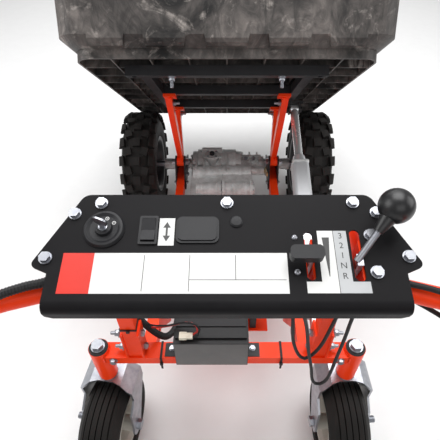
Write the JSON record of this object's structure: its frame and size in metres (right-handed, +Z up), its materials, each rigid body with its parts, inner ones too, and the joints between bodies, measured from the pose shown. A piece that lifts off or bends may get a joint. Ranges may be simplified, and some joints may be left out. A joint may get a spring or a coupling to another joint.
{
  "type": "walk-behind powered dump wagon",
  "caption": "Walk-behind powered wagon with a tilting plastic tub on an electric actuator, driven front wheels, swivel casters and an operator console with levers.",
  "frame": {"origin": "On the floor, under the middle of the overall bounding box.", "axes": "+Y points forward, away from the operator; +X is the operator's right; +Z is up."},
  "size_m": [0.82, 1.8414, 1.1026],
  "materials": {
    "frame_paint": "bright orange-red powder coat with a soft gloss",
    "black_paint": "black powder coat, satin",
    "black_plastic": "moulded black plastic, fine grain",
    "grip_rubber": "soft black rubber",
    "bright_zinc": "bright zinc plated steel",
    "yellow_zinc": "yellow zinc plated steel",
    "tyre_rubber": "moulded tyre rubber",
    "rim_paint_dark": "dark painted pressed steel",
    "rim_paint_pale": "pale grey painted pressed steel",
    "tub_plastic": "moulded polyethylene with a fine grain and pale scuffs",
    "battery_case": "moulded black plastic battery case",
    "cast_alloy": "sand-cast aluminium, dull",
    "anodised_alloy": "extruded aluminium, clear anodised",
    "rod_steel": "ground steel rod",
    "dark_steel": "dark steel",
    "cable_jacket": "black cable jacket; one battery lead is red"
  },
  "bodies": {
    "chassis": {"rear_cross_beam": "frame_paint", "frame_rails": "frame_paint", "engine_plate": "frame_paint", "pivot_brackets": "black_paint", "tub_rests": "frame_paint", "tub_bumpers": "grip_rubber", "console_posts": "frame_paint", "handlebar_left": "frame_paint", "handlebar_right": "frame_paint", "handle_grips": "grip_rubber", "console_frame": "frame_paint", "control_panel": "black_paint", "chassis_bolts": "bright_zinc", "key_switch": "black_plastic", "rocker_bezel": "black_plastic", "panel_covers": "black_plastic", "battery": "battery_case", "battery_tray": "black_paint", "transaxle_case": "cast_alloy", "engine_block": "cast_alloy", "engine_shroud": "black_plastic", "fuel_tank": "black_plastic", "muffler": "dark_steel", "air_cleaner": "black_plastic", "drive_belt": "grip_rubber", "caster_bushes": "black_plastic", "control_cables": "cable_jacket", "wiring_loom": "cable_jacket", "battery_leads": "cable_jacket", "handlebar_cables": "cable_jacket"},
    "drive_wheel_left": {"drive_tyre_left": "tyre_rubber", "drive_rim_left": "rim_paint_dark", "axle_shaft_left": "bright_zinc"},
    "drive_wheel_right": {"drive_tyre_right": "tyre_rubber", "drive_rim_right": "rim_paint_dark", "axle_shaft_right": "bright_zinc"},
    "caster_left": {"caster_fork_left": "bright_zinc", "caster_bolts_left": "bright_zinc"},
    "caster_right": {"caster_fork_right": "bright_zinc", "caster_bolts_right": "bright_zinc"},
    "caster_wheel_left": {"caster_tyre_left": "tyre_rubber", "caster_rim_left": "rim_paint_pale"},
    "caster_wheel_right": {"caster_tyre_right": "tyre_rubber", "caster_rim_right": "rim_paint_pale"},
    "tub": {"tub_shell": "tub_plastic", "tub_subframe": "black_paint", "lift_arms": "frame_paint"},
    "actuator": {"actuator_body": "anodised_alloy"},
    "actuator_rod": {"actuator_rod": "rod_steel"},
    "throttle": {"throttle_lever": "bright_zinc", "throttle_knob": "black_plastic"},
    "shifter": {"shift_lever": "bright_zinc", "shift_knob": "black_plastic"},
    "key": {"ignition_key": "bright_zinc"},
    "rocker": {"rocker": "black_plastic"},
    "presence_lever": {"presence_lever": "black_paint"},
    "drive_lever": {"drive_lever": "black_paint"},
    "engine_pulley": {"engine_pulley": "dark_steel"},
    "input_pulley": {"input_pulley": "dark_steel"},
    "shift_arm": {"shift_arm": "yellow_zinc"}
  },
  "joints": [
    {"name": "drive_wheel_left", "type": "hinge", "parent": "chassis", "child": "drive_wheel_left", "pos_m": [-0.326, 0.41431, 0.203], "axis": [1, 0, 0], "continuous": true},
    {"name": "drive_wheel_right", "type": "hinge", "parent": "chassis", "child": "drive_wheel_right", "pos_m": [0.326, 0.41431, 0.203], "axis": [1, 0, 0], "continuous": true},
    {"name": "caster_swivel_left", "type": "hinge", "parent": "chassis", "child": "caster_left", "pos_m": [-0.28, -0.50069, 0.34], "axis": [0, 0, 1], "continuous": true},
    {"name": "caster_wheel_left", "type": "hinge", "parent": "caster_left", "child": "caster_wheel_left", "pos_m": [-0.28752, -0.55417, 0.127], "axis": [0.9903, -0.1392, 0], "continuous": true},
    {"name": "caster_swivel_right", "type": "hinge", "parent": "chassis", "child": "caster_right", "pos_m": [0.28, -0.50069, 0.34], "axis": [0, 0, 1], "continuous": true},
    {"name": "caster_wheel_right", "type": "hinge", "parent": "caster_right", "child": "caster_wheel_right", "pos_m": [0.28188, -0.55466, 0.127], "axis": [0.9994, 0.0349, 0], "continuous": true},
    {"name": "tub_tilt", "type": "hinge", "parent": "chassis", "child": "tub", "pos_m": [0, 0.33431, 0.275], "axis": [1, 0, 0], "range_deg": [0, 39.2]},
    {"name": "actuator_swing", "type": "hinge", "parent": "chassis", "child": "actuator", "pos_m": [0.215, -0.42569, 0.342], "axis": [1, 0, 0], "range_deg": [-6.79, 0]},
    {"name": "actuator_stroke", "type": "slide", "parent": "actuator", "child": "actuator_rod", "axis": [0, 0.9591, 0.2829], "range_m": [-0.17262, 0]},
    {"name": "throttle", "type": "hinge", "parent": "chassis", "child": "throttle", "pos_m": [0.109, -0.584, 0.76312], "axis": [1, 0, 0], "range_deg": [-28, 17]},
    {"name": "gear_shift", "type": "hinge", "parent": "chassis", "child": "shifter", "pos_m": [0.172, -0.56057, 0.67413], "axis": [1, 0, 0], "range_deg": [-11, 6]},
    {"name": "shift_arm", "type": "hinge", "parent": "chassis", "child": "shift_arm", "pos_m": [0.149, 0.34431, 0.223], "axis": [1, 0, 0], "range_deg": [-18, 10]},
    {"name": "key_turn", "type": "hinge", "parent": "chassis", "child": "key", "pos_m": [-0.167, -0.55577, 0.83155], "axis": [0, -0.2756, 0.9613], "range_deg": [0, 75]},
    {"name": "dump_rocker", "type": "hinge", "parent": "chassis", "child": "rocker", "pos_m": [-0.1065, -0.55611, 0.82729], "axis": [1, 0, 0], "range_deg": [-7, 7], "stiffness_Nm_per_rad": 0.3},
    {"name": "presence_lever_squeeze", "type": "hinge", "parent": "chassis", "child": "presence_lever", "pos_m": [-0.335, -0.72069, 0.75], "axis": [1, 0, 0], "range_deg": [-8, 0], "stiffness_Nm_per_rad": 4, "springref_deg": 14.32},
    {"name": "drive_lever_squeeze", "type": "hinge", "parent": "chassis", "child": "drive_lever", "pos_m": [0.335, -0.72069, 0.75], "axis": [1, 0, 0], "range_deg": [-8, 0], "stiffness_Nm_per_rad": 4, "springref_deg": 14.32},
    {"name": "input_spin", "type": "hinge", "parent": "chassis", "child": "input_pulley", "pos_m": [-0.02, 0.24431, 0.161], "axis": [0, 0, 1], "continuous": true},
    {"name": "engine_spin", "type": "hinge", "parent": "chassis", "child": "engine_pulley", "pos_m": [0, -0.17069, 0.161], "axis": [0, 0, 1], "continuous": true}
  ],
  "couplings": [
    {"joint": "actuator_swing", "follows": "tub_tilt", "ratio": -0.17298},
    {"joint": "actuator_stroke", "follows": "tub_tilt", "m_per_rad": -0.25227},
    {"joint": "shift_arm", "follows": "gear_shift", "ratio": 1.6},
    {"joint": "engine_spin", "follows": "input_spin", "ratio": 2.1875}
  ]
}
